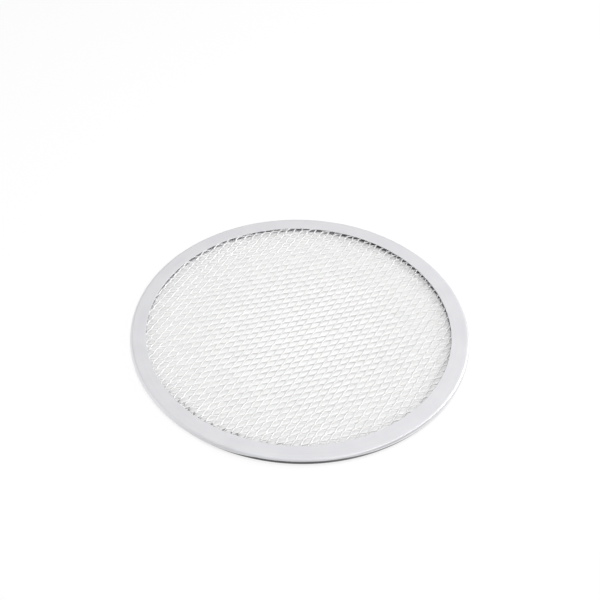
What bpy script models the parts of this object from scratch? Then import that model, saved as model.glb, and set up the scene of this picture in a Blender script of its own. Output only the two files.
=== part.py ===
"""A round pizza screen: a disc of raised expanded aluminium in a folded aluminium rim.

Metres, +Z up. The origin is under the middle of the screen, on the surface that it rests on.
The long way of the mesh runs along X.
"""

import math

import bmesh
import bpy

# The rim: one strip of sheet, folded over the edge of the mesh
RIM_DIAMETER = 0.254
RIM_WIDTH = 0.0127  # from the outside of the fold to the cut edge of each leg
RIM_SHEET = 0.0008
RIM_STEPS = 96  # a multiple of 4 keeps the rim's width along X and Y true
FOLD_STEPS = 8

# The mesh: one sheet, slit and stretched, so that every strand lies tilted
MESH_SHEET = 0.0008
STRAND_WIDTH = 0.0025
STRAND_TILT = math.radians(22)
LONG_PITCH = 0.027  # bond to bond along X
SHORT_PITCH = 0.012  # bond to bond along Y
BOND_LENGTH = 0.0055

# The fit of the mesh in the rim
LEG_GAP = 0.0003  # from the mesh to each leg of the fold
EDGE_GAP = 0.0005  # from the edge of the mesh to where the fold starts to curve
LEAST_STUB = 0.0008  # the shortest cut strand that stays on a bond

# The finish of each piece
RIM_COLOUR = (0.76, 0.76, 0.78)
RIM_ROUGHNESS = 0.38
MESH_COLOUR = (0.86, 0.86, 0.86)
MESH_ROUGHNESS = 0.42

SHARP_ANGLE = math.radians(30)  # edges that turn more than this are shaded sharp
SEAM_MERGE = 0.00001  # joins the first and last profile of the turned rim

MESH_DEPTH = (
    2 * STRAND_WIDTH * math.sin(STRAND_TILT) + MESH_SHEET * math.cos(STRAND_TILT)
)
RIM_HEIGHT = MESH_DEPTH + 2 * (LEG_GAP + RIM_SHEET)
FOLD_RADIUS = RIM_HEIGHT / 2
FOLD_CENTRE = RIM_DIAMETER / 2 - FOLD_RADIUS
BLANK_RADIUS = FOLD_CENTRE - EDGE_GAP


def clear_scene():
    for obj in list(bpy.data.objects):
        bpy.data.objects.remove(obj, do_unlink=True)


def make_collection(name):
    collection = bpy.data.collections.new(name)
    bpy.context.scene.collection.children.link(collection)
    return collection


def make_material(name, colour, roughness):
    material = bpy.data.materials.new(name)
    material.use_nodes = True
    shader = material.node_tree.nodes["Principled BSDF"]
    shader.inputs["Base Color"].default_value = (*colour, 1)
    shader.inputs["Metallic"].default_value = 1
    shader.inputs["Roughness"].default_value = roughness
    material.diffuse_color = (*colour, 1)
    return material


def make_object(name, mesh, material, collection):
    obj = bpy.data.objects.new(name, mesh)
    obj.data.materials.append(material)
    collection.objects.link(obj)
    return obj


def apply_modifiers(obj):
    """Makes the modifiers' result the object's mesh, smooth but for its sheet edges."""
    bpy.context.view_layer.update()
    graph = bpy.context.evaluated_depsgraph_get()
    start = obj.data
    mesh = bpy.data.meshes.new_from_object(obj.evaluated_get(graph))
    obj.modifiers.clear()
    obj.data = mesh
    bpy.data.meshes.remove(start)
    mesh.name = obj.name
    mesh.shade_smooth()
    mesh.set_sharp_from_angle(angle=SHARP_ANGLE)


def add_sheet(obj, thickness, offset):
    solidify = obj.modifiers.new("sheet", "SOLIDIFY")
    solidify.thickness = thickness
    solidify.offset = offset
    solidify.use_even_offset = True


def rim_profile():
    """The outside of the fold, from the top leg's cut edge round to the bottom leg's."""
    cut_edge = RIM_DIAMETER / 2 - RIM_WIDTH
    points = [(cut_edge, FOLD_RADIUS)]
    for step in range(FOLD_STEPS + 1):
        turn = math.pi * step / FOLD_STEPS
        points.append(
            (
                FOLD_CENTRE + FOLD_RADIUS * math.sin(turn),
                FOLD_RADIUS * math.cos(turn),
            )
        )
    points.append((cut_edge, -FOLD_RADIUS))
    return points


def make_rim(material, collection):
    """A strip of sheet, folded into a flat U section and turned into a ring."""
    points = rim_profile()
    mesh = bpy.data.meshes.new("rim_profile")
    mesh.from_pydata(
        [(x, 0, z) for x, z in points],
        [(k, k + 1) for k in range(len(points) - 1)],
        [],
    )
    rim = make_object("rim", mesh, material, collection)
    screw = rim.modifiers.new("turn", "SCREW")
    screw.axis = "Z"
    screw.angle = 2 * math.pi
    screw.steps = RIM_STEPS
    screw.render_steps = RIM_STEPS
    screw.use_merge_vertices = True
    screw.merge_threshold = SEAM_MERGE
    add_sheet(rim, RIM_SHEET, -1)
    rim.location.z = FOLD_RADIUS
    apply_modifiers(rim)
    return rim


def bond_corner(place, end, level):
    """A corner of a bond. end is -1 or 1 along X, and level is -1, 0 or 1 up its tilt."""
    column, row = place
    rise = level * STRAND_WIDTH
    return (
        column * LONG_PITCH / 2 + end * BOND_LENGTH / 2,
        row * SHORT_PITCH / 2 + rise * math.cos(STRAND_TILT),
        rise * math.sin(STRAND_TILT),
    )


def fits_blank(place):
    """Whether a whole bond lies in the round blank, with room for its cut strands."""
    corners = [bond_corner(place, end, level) for end in (-1, 1) for level in (-1, 1)]
    reach = max(math.hypot(x, y) for x, y, _ in corners)
    return reach < BLANK_RADIUS - LEAST_STUB


def joined_bonds():
    """The places of all bonds in the blank that strands join to the middle one."""
    middle = (0, 0)
    found = {middle}
    waiting = [middle]
    while waiting:
        column, row = waiting.pop()
        for across in (-1, 1):
            for up in (-1, 1):
                place = (column + across, row + up)
                if place not in found and fits_blank(place):
                    found.add(place)
                    waiting.append(place)
    return sorted(found)


def cut_to_blank(start, finish):
    """Where a strand's edge from start to finish meets the round edge of the blank."""
    along = [b - a for a, b in zip(start, finish)]
    square = along[0] ** 2 + along[1] ** 2
    half = start[0] * along[0] + start[1] * along[1]
    inside = BLANK_RADIUS**2 - start[0] ** 2 - start[1] ** 2
    share = (math.sqrt(half**2 + square * inside) - half) / square
    return tuple(a + min(share, 1) * b for a, b in zip(start, along))


def add_strand(bm, vertex_at, place, end, up):
    """The strand that leaves a bond's end upwards or downwards, whole or cut short."""
    far = (place[0] + end, place[1] + up)
    edges = [
        ((place, end, 0), (far, -end, -up)),
        ((place, end, up), (far, -end, 0)),
    ]
    whole = edges[0][1] in vertex_at
    if whole and end < 0:
        return  # the bond on the left has made it
    ring = []
    for start, finish in edges:
        near = vertex_at[start]
        if whole:
            last = vertex_at[finish]
        else:
            last = bm.verts.new(cut_to_blank(bond_corner(*start), bond_corner(*finish)))
        ring.append((near, last))
    face = [ring[0][0], ring[0][1], ring[1][1], ring[1][0]]
    bm.faces.new(face if end == up else face[::-1])


def make_mesh_disc(material, collection):
    """Expanded metal: tilted bonds in rows, each joined to four more by strands."""
    places = joined_bonds()
    bm = bmesh.new()
    vertex_at = {}
    for place in places:
        for end in (-1, 1):
            for level in (-1, 0, 1):
                corner = (place, end, level)
                vertex_at[corner] = bm.verts.new(bond_corner(*corner))
    for place in places:
        for low in (-1, 0):
            ring = [(-1, low), (1, low), (1, low + 1), (-1, low + 1)]
            bm.faces.new([vertex_at[place, end, level] for end, level in ring])
        for end in (-1, 1):
            for up in (-1, 1):
                add_strand(bm, vertex_at, place, end, up)
    mesh = bpy.data.meshes.new("mesh_disc")
    bm.to_mesh(mesh)
    bm.free()
    disc = make_object("mesh_disc", mesh, material, collection)
    add_sheet(disc, MESH_SHEET, 0)
    return disc


def main():
    clear_scene()
    collection = make_collection("pizza_screen")
    satin = make_material("rim_satin_aluminium", RIM_COLOUR, RIM_ROUGHNESS)
    bright = make_material("mesh_bright_aluminium", MESH_COLOUR, MESH_ROUGHNESS)
    rim = make_rim(satin, collection)
    disc = make_mesh_disc(bright, collection)
    disc.parent = rim  # the fold of the rim carries it at mid height


main()
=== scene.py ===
import math

import bmesh
import bpy
from mathutils import Euler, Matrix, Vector


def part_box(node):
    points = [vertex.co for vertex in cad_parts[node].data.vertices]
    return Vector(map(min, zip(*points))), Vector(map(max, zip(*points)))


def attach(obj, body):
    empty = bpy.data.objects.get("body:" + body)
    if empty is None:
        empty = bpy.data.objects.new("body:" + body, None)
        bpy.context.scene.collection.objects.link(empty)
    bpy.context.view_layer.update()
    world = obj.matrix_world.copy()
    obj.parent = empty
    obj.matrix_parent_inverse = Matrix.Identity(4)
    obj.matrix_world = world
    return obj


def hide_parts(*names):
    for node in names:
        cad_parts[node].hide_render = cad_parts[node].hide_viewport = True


# A round pizza screen: raised expanded aluminium in a folded aluminium rim.
# Metres, +Z up, the long way of the mesh along X, the rim's underside at height 0.

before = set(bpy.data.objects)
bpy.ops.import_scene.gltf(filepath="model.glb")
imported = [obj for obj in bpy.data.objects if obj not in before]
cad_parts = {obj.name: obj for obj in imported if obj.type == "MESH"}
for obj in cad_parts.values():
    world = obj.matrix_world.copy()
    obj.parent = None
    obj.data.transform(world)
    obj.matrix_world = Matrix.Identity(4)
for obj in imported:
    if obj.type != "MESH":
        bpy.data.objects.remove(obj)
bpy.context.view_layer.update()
print("frame loaded")

rimLow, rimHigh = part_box("rim")
meshLow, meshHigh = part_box("mesh_disc")
outerRadius = rimHigh.x  # the outside of the fold
rimHeight = rimHigh.z - rimLow.z
meshMiddle = (meshLow.z + meshHigh.z) / 2
blankRadius = meshHigh.y  # the round edge of the mesh, inside the fold


class Wire:
    # one socket of a node tree; arithmetic on it adds Math nodes
    def __init__(self, socket):
        self.socket = socket
        self.tree = socket.id_data

    @staticmethod
    def make(tree, kind, settings=None, inputs=None, output=0):
        # a node of any kind, with its settings first and then its values and links
        node = tree.nodes.new(kind)
        for name, value in (settings or {}).items():
            setattr(node, name, value)
        for name, value in (inputs or {}).items():
            if isinstance(value, Wire):
                tree.links.new(value.socket, node.inputs[name])
            else:
                node.inputs[name].default_value = value
        return Wire(node.outputs[output]) if node.outputs else None

    def maths(self, operation, first, second):
        return Wire.make(
            self.tree, "ShaderNodeMath", {"operation": operation}, {0: first, 1: second}
        )

    def mix(self, first, second):
        # the first colour where this is 0, the second where it is 1
        inputs = {0: self}
        for place, colour in ((6, first), (7, second)):
            inputs[place] = colour if isinstance(colour, Wire) else (*colour, 1)
        return Wire.make(self.tree, "ShaderNodeMix", {"data_type": "RGBA"}, inputs, 2)

    def noise(self, scale, detail):
        inputs = {"Vector": self, "Scale": scale, "Detail": detail}
        return Wire.make(self.tree, "ShaderNodeTexNoise", None, inputs)

    def parts(self):
        # the X, Y and Z of a vector
        first = Wire.make(self.tree, "ShaderNodeSeparateXYZ", None, {0: self})
        return [Wire(socket) for socket in first.socket.node.outputs]

    def ramp(self, kind, start, finish):
        inputs = {"Value": self, "From Min": start, "From Max": finish}
        return Wire.make(self.tree, "ShaderNodeMapRange", {"interpolation_type": kind}, inputs)

    def band(self, start, finish):
        # 0 at start, 1 at finish, smooth between
        return self.ramp("SMOOTHSTEP", start, finish)

    def slope(self, start, finish):
        # 0 at start, 1 at finish, straight between
        return self.ramp("LINEAR", start, finish)

    def within(self, reach):
        # of four angles in degrees: 0 up to the first and past the last, 1 in the middle
        start, full, fullEnd, end = [math.radians(angle) for angle in reach]
        return self.slope(start, full) * self.slope(end, fullEnd)

    def larger(self, other):
        return self.maths("MAXIMUM", self, other)

    def __abs__(self):
        return self.maths("ABSOLUTE", self, 0.0)

    def __add__(self, other):
        return self.maths("ADD", self, other)

    def __radd__(self, other):
        return self.maths("ADD", other, self)

    def __sub__(self, other):
        return self.maths("SUBTRACT", self, other)

    def __rsub__(self, other):
        return self.maths("SUBTRACT", other, self)

    def __mul__(self, other):
        return self.maths("MULTIPLY", self, other)

    def __rmul__(self, other):
        return self.maths("MULTIPLY", other, self)

    def __truediv__(self, other):
        return self.maths("DIVIDE", self, other)

    def __rtruediv__(self, other):
        return self.maths("DIVIDE", other, self)

    def __pow__(self, other):
        return self.maths("POWER", self, other)

    def __rpow__(self, other):
        return self.maths("POWER", other, self)


# The camera of the photograph, found from the rim's outline and the pitch of the mesh
cameraFacts = {
    "frame": 600,  # the photograph's width and height in pixels
    "focal": 1120,  # pixels
    "sensor": 36,  # mm
    "azimuth": 140.3,  # degrees round; 0 looks along +Y
    "elevation": 45.2,
    "roll": 1.52,
    "distance": 0.843,  # to the middle of the mesh
    "middle": (300.1, 328.8),  # the pixel where the middle of the mesh is
}


def wayTo(turn, rise):
    # the direction of something seen from the middle, in degrees round and up
    turn, rise = math.radians(turn), math.radians(rise)
    return Vector(
        (math.sin(turn) * math.cos(rise), -math.cos(turn) * math.cos(rise), math.sin(rise))
    )


def buildCamera(facts):
    data = bpy.data.cameras.new("camera")
    data.sensor_width = facts["sensor"]
    data.lens = facts["focal"] / facts["frame"] * facts["sensor"]
    camera = bpy.data.objects.new("camera", data)
    bpy.context.scene.collection.objects.link(camera)
    back = wayTo(facts["azimuth"], facts["elevation"])
    camera.location = Vector((0, 0, meshMiddle)) + back * facts["distance"]
    offX = facts["middle"][0] - facts["frame"] / 2
    offY = facts["middle"][1] - facts["frame"] / 2
    aim = (-back).to_track_quat("-Z", "Y").to_matrix()
    roll = Euler((0, 0, math.radians(facts["roll"]))).to_matrix()
    shift = Euler(
        (math.atan(offY / facts["focal"]), math.atan(offX / facts["focal"]), 0)
    ).to_matrix()
    camera.rotation_mode = "QUATERNION"
    camera.rotation_quaternion = (aim @ roll @ shift).to_quaternion()
    bpy.context.scene.camera = camera


def addPiece(name, bm):
    data = bpy.data.meshes.new(name)
    bm.to_mesh(data)
    bm.free()
    piece = bpy.data.objects.new(name, data)
    bpy.context.scene.collection.objects.link(piece)
    return piece


def makeSheet(piece, facts, offset):
    # gives an open surface the thickness of the sheet, and rounds the sheet's edges
    sheet = piece.modifiers.new("sheet", "SOLIDIFY")
    sheet.thickness = facts["sheet"]
    sheet.offset = offset
    sheet.use_even_offset = True
    edge = piece.modifiers.new("edge", "BEVEL")
    edge.width = facts["edge"]
    edge.segments = facts["edgeSteps"]
    edge.limit_method = "ANGLE"
    edge.angle_limit = math.radians(facts["edgeAngle"])


def startMaterial(name):
    material = bpy.data.materials.new(name)
    material.use_nodes = True
    material.node_tree.nodes.clear()
    return material, material.node_tree


def endMetal(tree, colour, roughness, relief, facts):
    bump = Wire.make(
        tree,
        "ShaderNodeBump",
        None,
        {"Strength": facts["bump"], "Distance": facts["relief"], "Height": relief},
    )
    metal = Wire.make(
        tree,
        "ShaderNodeBsdfPrincipled",
        None,
        {"Base Color": colour, "Metallic": 1.0, "Roughness": roughness, "Normal": bump},
    )
    Wire.make(tree, "ShaderNodeOutputMaterial", None, {"Surface": metal})


markStart = 140  # degrees round; the places of marks are angles counted from here


def radiusOf(east, north):
    return (east**2 + north**2) ** 0.5


def turnOf(east, north):
    # the angle from markStart, in radians; to the right of it for the camera is positive
    towards, sideways = wayTo(markStart, 0), wayTo(markStart + 90, 0)
    side = east * sideways.x + north * sideways.y
    return side.maths("ARCTAN2", side, east * towards.x + north * towards.y)


# The mesh: one sheet, slit and stretched until its strands stand tilted
meshFacts = {
    "longPitch": 0.01281,  # bond to bond along X
    "shortPitch": 0.00565,  # bond to bond along Y
    "bondLength": 0.0024,
    "strandWidth": 0.0013,
    "sheet": 0.0008,
    "tilt": 28,  # degrees
    "strandSteps": 3,  # faces along a strand
    "stub": 0.0003,  # the shortest cut strand that stays on a bond
    "sag": 0.0020,  # how far the middle hangs below the edge
    "sagReach": 0.116,  # the radius where the sag ends
    "lift": 0.0006,  # how far the edge lies above the middle of the rim
    "edge": 0.00012,  # the softened edges of the sheet
    "edgeSteps": 1,
    "edgeAngle": 40,  # degrees; a sharper bend than this is an edge
    "colour": (0.923, 0.919, 0.919),
    "patch": (0.884, 0.88, 0.882),
    "cloud": (120, 5),  # scale and detail of the noise that makes the patches
    "patchBand": (0.35, 0.65),
    "speck": (0.8, 0.8, 0.8),
    "grain": (2200, 3),
    "speckBand": (0.62, 0.78),
    "speckShare": 0.6,
    "paintedShade": (0.1, 0.095, 0.09),  # painted shade, beside the rim where its leg shades the mesh
    "paintedShadeBand": (0.1102, 0.1126),  # the radius where it starts, and where it is full
    "paintedShadeReach": (-62, -40, -18, 8),  # the stretch where the painted shade is broken into ticks on the strands' low sides
    "paintedShadeTop": 0.0014,  # the height above the middle of the rim that it reaches there
    "shadeTicks": (260, 2),
    "shadeTickBand": (0.44, 0.56),
    "deepShadeReach": (42, 78, 150, 178),  # and the stretch where the painted shade covers these
    "deepShadeTop": 0.0008,
    "paintedShadeFade": 0.0004,
    "roughness": 0.48,
    "cloudRough": 0.1,
    "grainRough": 0.1,
    "bump": 0.4,
    "relief": 0.00002,
}


def bondCorner(facts, place, end, level):
    # end is -1 or 1 along X; level is -1, 0 or 1 up the tilt
    tilt = math.radians(facts["tilt"])
    rise = level * facts["strandWidth"]
    x = place[0] * facts["longPitch"] / 2 + end * facts["bondLength"] / 2
    y = place[1] * facts["shortPitch"] / 2 + rise * math.cos(tilt)
    sag = facts["sag"] * max(0, 1 - (x**2 + y**2) / facts["sagReach"] ** 2)
    return Vector((x, y, rise * math.sin(tilt) + facts["lift"] - sag))


def fitsBlank(facts, place):
    corners = [bondCorner(facts, place, end, level) for end in (-1, 1) for level in (-1, 1)]
    return max(corner.xy.length for corner in corners) < blankRadius - facts["stub"]


def joinedBonds(facts):
    # every bond in the blank that strands join to the middle one
    found = {(0, 0)}
    waiting = [(0, 0)]
    while waiting:
        column, row = waiting.pop()
        for across in (-1, 1):
            for up in (-1, 1):
                place = (column + across, row + up)
                if place not in found and fitsBlank(facts, place):
                    found.add(place)
                    waiting.append(place)
    return sorted(found)


def shareInside(start, finish):
    # how much of the way from start to finish lies in the round blank
    along = finish - start
    square = along.xy.length_squared
    half = start.xy.dot(along.xy)
    inside = blankRadius**2 - start.xy.length_squared
    return min(1, (math.sqrt(half**2 + square * inside) - half) / square)


def buildStrand(facts, bm, vertexAt, place, end, up):
    # the strand that leaves a bond's end upwards or downwards, whole or cut short
    far = (place[0] + end, place[1] + up)
    edges = [((place, end, 0), (far, -end, -up)), ((place, end, up), (far, -end, 0))]
    steps = facts["strandSteps"]
    whole = edges[0][1] in vertexAt
    if whole and end < 0:
        return  # the bond on the left has made it
    rails = []
    for start, finish in edges:
        first = bondCorner(facts, *start)
        last = bondCorner(facts, *finish)
        share = 1 if whole else shareInside(first, last)
        rail = [vertexAt[start]]
        for step in range(1, steps + 1):
            if whole and step == steps:
                rail.append(vertexAt[finish])
            else:
                rail.append(bm.verts.new(first.lerp(last, share * step / steps)))
        rails.append(rail)
    for step in range(steps):
        face = [rails[0][step], rails[0][step + 1], rails[1][step + 1], rails[1][step]]
        bm.faces.new(face if end == up else face[::-1])


def buildMesh(facts):
    bm = bmesh.new()
    vertexAt = {}
    places = joinedBonds(facts)
    for place in places:
        for end in (-1, 1):
            for level in (-1, 0, 1):
                corner = (place, end, level)
                vertexAt[corner] = bm.verts.new(bondCorner(facts, *corner))
    for place in places:
        for low in (-1, 0):
            ring = [(-1, low), (1, low), (1, low + 1), (-1, low + 1)]
            bm.faces.new([vertexAt[place, end, level] for end, level in ring])
        for end in (-1, 1):
            for up in (-1, 1):
                buildStrand(facts, bm, vertexAt, place, end, up)
    piece = addPiece("expanded_mesh", bm)
    piece.location.z = meshMiddle
    makeSheet(piece, facts, 0)
    print("mesh:", len(places), "bonds")
    return piece


def meshFinish(facts):
    material, tree = startMaterial("bright_aluminium")
    spot = Wire.make(tree, "ShaderNodeTexCoord", output="Object")
    east, north, height = spot.parts()
    turn = turnOf(east, north)
    cloud = spot.noise(*facts["cloud"])
    grain = spot.noise(*facts["grain"])
    # painted shade beside the rim: ticks on the low sides of the strands, and a darker stretch
    # under the rim's leg
    shadeTicks = spot.noise(*facts["shadeTicks"]).band(*facts["shadeTickBand"])
    low, deepShadeLow = [
        height.slope(top, top - facts["paintedShadeFade"])
        for top in (facts["paintedShadeTop"], facts["deepShadeTop"])
    ]
    spread = low * turn.within(facts["paintedShadeReach"]) * shadeTicks
    spread = spread + deepShadeLow * turn.within(facts["deepShadeReach"])
    paintedShade = radiusOf(east, north).slope(*facts["paintedShadeBand"]) * spread

    patched = cloud.band(*facts["patchBand"]).mix(facts["colour"], facts["patch"])
    specks = grain.band(*facts["speckBand"]) * facts["speckShare"]
    colour = paintedShade.mix(specks.mix(patched, facts["speck"]), facts["paintedShade"])
    rough = (cloud - 0.5) * facts["cloudRough"] + (grain - 0.5) * facts["grainRough"]
    endMetal(tree, colour, rough + facts["roughness"], grain, facts)
    return material


# The rim: a strip of sheet folded flat over the edge of the mesh
rimFacts = {
    "width": 0.0127,
    "drift": 0.0012,  # how far the cut edge is off centre, as it is on a rolled hem
    "driftTurn": 189,  # the way it is off, in degrees round as for the camera
    "sheet": 0.0008,
    "foldSteps": 24,
    "press": 0.0006,  # how far the cut edge is pressed down towards the mesh
    "pressMore": 0.00015,  # and how much further on the side that was pressed the hardest
    "pressTurn": 20,
    "hold": 0.0008,  # narrow rows of faces that keep the broad ones flat to the light
    "steps": 288,
    "edge": 0.0003,  # the shears have rolled the cut edge over
    "edgeSteps": 3,
    "edgeAngle": 40,  # degrees; a sharper bend than this is an edge
    "colour": (0.773, 0.773, 0.793),
    "patch": (0.753, 0.753, 0.774),
    "cloud": (45, 5),  # scale and detail of the noise that makes the patches
    "patchBand": (0.35, 0.65),
    "line": (0.83, 0.83, 0.84),  # the marks that run round the ring
    "roundScale": 2.2,  # how often they change along the ring
    "lineScale": 1600,  # and across it
    "lineDetail": 4,
    "lineBand": (0.3, 0.7),
    "lineShare": 0.5,
    "grain": (1400, 2),
    "wallBand": (0.1253, 0.1261),  # the radius where the outer wall starts, and is full
    # the colour of the painted shade on the outer wall and in the hollow of the fold
    "paintedDark": (0.2, 0.2, 0.205),
    "frontShadeReach": (-36, -12, 14, 80),  # the stretch of the outer wall with painted shade, a dark reflection low on it
    "frontShadeRagged": 0.15,
    "frontShadeLow": -0.0024,  # heights from the middle of the rim
    "frontShadeHigh": 0.0012,
    "frontShadeFade": 0.0003,
    "insideStart": (0.1151, 0.1161),  # the radius where the inside of the fold starts
    "insideEnd": (0.1263, 0.1261),  # and where it ends, each as none and full
    "insideDepth": (0.0017, 0.0010),  # and the same for its height from the middle
    "hollowShadeReach": (60, 90, 150, 178),  # the stretch of it with painted shade
    "hollowShadeShare": 0.95,
    # the colour of the painted light in the hollow of the fold and on the outer wall
    "paintedLight": (0.93, 0.93, 0.95),
    "hollowLightReach": (-178, -150, -70, -40),  # the stretch of it with painted light
    "paintedLightReach": (-135, -100, -50, -25),  # the stretch of the outer wall with painted light
    "brightReach": (5, 30, 75, 100),  # and the one that hands have polished
    "burnish": 0.45,  # how much less rough it is there
    "roughness": 0.8,
    "lineRough": 0.16,
    "cloudRough": 0.08,
    "bump": 0.35,
    "lineRelief": 0.6,  # the share of the relief that the lines have; the rest is grain
    "relief": 0.00003,
}


def buildRim(facts):
    half = rimHeight / 2
    centre = outerRadius - half
    drift = -facts["drift"] * wayTo(facts["driftTurn"], 0)
    harder = facts["pressMore"] * wayTo(facts["pressTurn"], 0)
    bends = [math.pi * fold / facts["foldSteps"] for fold in range(facts["foldSteps"] + 1)]
    bm = bmesh.new()
    rows = []
    for step in range(facts["steps"]):
        turn = 2 * math.pi * step / facts["steps"]
        out = Vector((math.cos(turn), math.sin(turn), 0))
        cutEdge = outerRadius - facts["width"] + drift.dot(out)
        press = facts["press"] + harder.dot(out)
        leg = [(cutEdge, press), (cutEdge + facts["hold"], press), (centre - facts["hold"], 0)]
        points = [(x, half - lower) for x, lower in leg]
        points += [(centre + half * math.sin(bend), half * math.cos(bend)) for bend in bends]
        points += [(x, -half) for x, lower in reversed(leg)]
        rows.append([bm.verts.new(out * x + Vector((0, 0, z))) for x, z in points])
    for place, row in enumerate(rows):
        after = rows[(place + 1) % len(rows)]
        for low in range(len(row) - 1):
            face = bm.faces.new((row[low], row[low + 1], after[low + 1], after[low]))
            face.smooth = True
    piece = addPiece("rim_ring", bm)
    piece.location.z = rimLow.z + half
    makeSheet(piece, facts, -1)
    return piece


def rimFinish(facts):
    material, tree = startMaterial("satin_aluminium")
    spot = Wire.make(tree, "ShaderNodeTexCoord", output="Object")
    east, north, height = spot.parts()
    radius, turn = radiusOf(east, north), turnOf(east, north)
    around = Wire.make(
        tree,
        "ShaderNodeCombineXYZ",
        None,
        {
            0: east / radius * facts["roundScale"],
            1: north / radius * facts["roundScale"],
            2: radius * facts["lineScale"],
        },
    )
    lines = around.noise(1, facts["lineDetail"])
    cloud = spot.noise(*facts["cloud"])
    grain = spot.noise(*facts["grain"])

    wall = radius.slope(*facts["wallBand"])
    # painted shade: a dark reflection low on the front of the outer wall, and darkness in the
    # hollow of the fold
    reach = turn.within(facts["frontShadeReach"]) + (cloud - 0.5) * facts["frontShadeRagged"]
    frontShadeTop = reach * (facts["frontShadeHigh"] - facts["frontShadeLow"]) + facts["frontShadeLow"]
    frontShade = (frontShadeTop - height).band(0, facts["frontShadeFade"]) * wall
    inside = radius.slope(*facts["insideStart"]) * radius.slope(*facts["insideEnd"])
    inside = inside * abs(height).slope(*facts["insideDepth"])
    paintedDark = frontShade.larger(inside * turn.within(facts["hollowShadeReach"]) * facts["hollowShadeShare"])
    # painted light: a lighter stretch of the hollow of the fold and of the outer wall
    hollowLight = inside * turn.within(facts["hollowLightReach"])
    paintedLight = hollowLight.larger(wall * turn.within(facts["paintedLightReach"]))
    burnish = wall * turn.within(facts["brightReach"]) * facts["burnish"]

    patched = cloud.band(*facts["patchBand"]).mix(facts["colour"], facts["patch"])
    lineShare = lines.band(*facts["lineBand"]) * facts["lineShare"]
    lined = lineShare.mix(patched, facts["line"])
    colour = paintedDark.mix(paintedLight.mix(lined, facts["paintedLight"]), facts["paintedDark"])
    rough = (lines - 0.5) * facts["lineRough"] + (cloud - 0.5) * facts["cloudRough"]
    relief = lines * facts["lineRelief"] + grain * (1 - facts["lineRelief"])
    endMetal(tree, colour, rough + facts["roughness"] - burnish, relief, facts)
    return material


# The studio: a white floor, a pale surround and soft lamps
studioFacts = {
    "floorSide": 6.0,
    "floorDrop": 0.00002,  # keeps the floor clear of the rim's underside
    "floorColour": 0.95,
    "floorGlow": 0.25,  # the share of plain white that the eye and reflections get
    "openGlow": 0.75,  # the same, clear of the screen
    "glowEdge": (0.011, 0.003),  # how far in from the outside of the rim it changes
    "sideLevel": 0.95,  # the surround near the floor
    "topLevel": 0.54,  # and overhead
    "sideRise": 0.3,  # how far up it changes, as a share of the way overhead
    "lampAway": 1.2,
    "keyPower": 8.2,
    "keySide": 0.9,
    "keyTurn": 60,  # degrees round from the camera, to its right
    "keyRise": 83,
    "fillPower": 4,
    "fillSide": 0.5,
    "fillTurn": 108,
    "fillRise": 25,
}


def buildFloor(facts):
    half = facts["floorSide"] / 2
    data = bpy.data.meshes.new("floor")
    corners = [(-half, -half, 0), (half, -half, 0), (half, half, 0), (-half, half, 0)]
    data.from_pydata(corners, [], [(0, 1, 2, 3)])
    floor = bpy.data.objects.new("floor", data)
    bpy.context.scene.collection.objects.link(floor)
    floor.location.z = -facts["floorDrop"]

    material, tree = startMaterial("white_floor")
    level = facts["floorColour"]
    matt = Wire.make(tree, "ShaderNodeBsdfDiffuse", None, {"Color": (level, level, level, 1)})
    white = Wire.make(tree, "ShaderNodeEmission", None, {"Color": (1, 1, 1, 1), "Strength": 1})
    spot = Wire.make(tree, "ShaderNodeTexCoord", output="Object")
    radius = radiusOf(*spot.parts()[:2])
    beyond = radius.band(*[outerRadius - inwards for inwards in facts["glowEdge"]])
    share = beyond * (facts["openGlow"] - facts["floorGlow"]) + facts["floorGlow"]
    seen, mirrored, through = [
        Wire.make(tree, "ShaderNodeLightPath", output=name)
        for name in ("Is Camera Ray", "Is Glossy Ray", "Is Transmission Ray")
    ]
    glow = (seen + mirrored + through) * share
    surface = Wire.make(tree, "ShaderNodeMixShader", None, {0: glow, 1: matt, 2: white})
    Wire.make(tree, "ShaderNodeOutputMaterial", None, {"Surface": surface})
    floor.data.materials.append(material)


def buildSurround(facts):
    world = bpy.data.worlds.new("surround")
    bpy.context.scene.world = world
    world.use_nodes = True
    tree = world.node_tree
    tree.nodes.clear()
    way = Wire.make(tree, "ShaderNodeTexCoord", output="Generated")
    rise = way.parts()[2]
    sides, top = [(facts[name],) * 3 for name in ("sideLevel", "topLevel")]
    colour = rise.slope(0, facts["sideRise"]).mix(sides, top)
    sky = Wire.make(tree, "ShaderNodeBackground", None, {"Color": colour})
    Wire.make(tree, "ShaderNodeOutputWorld", None, {"Surface": sky})


def buildLamps(facts):
    for name in ("key", "fill"):
        data = bpy.data.lights.new(name, "AREA")
        data.shape = "SQUARE"
        data.size = facts[name + "Side"]
        data.energy = facts[name + "Power"]
        lamp = bpy.data.objects.new(name, data)
        bpy.context.scene.collection.objects.link(lamp)
        turn = cameraFacts["azimuth"] + facts[name + "Turn"]
        lamp.location = facts["lampAway"] * wayTo(turn, facts[name + "Rise"])
        lamp.rotation_mode = "QUATERNION"
        lamp.rotation_quaternion = lamp.location.to_track_quat("Z", "Y")


bpy.context.scene.view_settings.view_transform = "Standard"
buildCamera(cameraFacts)
buildFloor(studioFacts)
buildSurround(studioFacts)
buildLamps(studioFacts)
print("camera and studio ready")

expandedMesh = buildMesh(meshFacts)
expandedMesh.data.materials.append(meshFinish(meshFacts))
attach(expandedMesh, "root")
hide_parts("mesh_disc")
print("mesh ready")

rimRing = buildRim(rimFacts)
rimRing.data.materials.append(rimFinish(rimFacts))
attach(rimRing, "root")
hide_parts("rim")
print("rim ready")
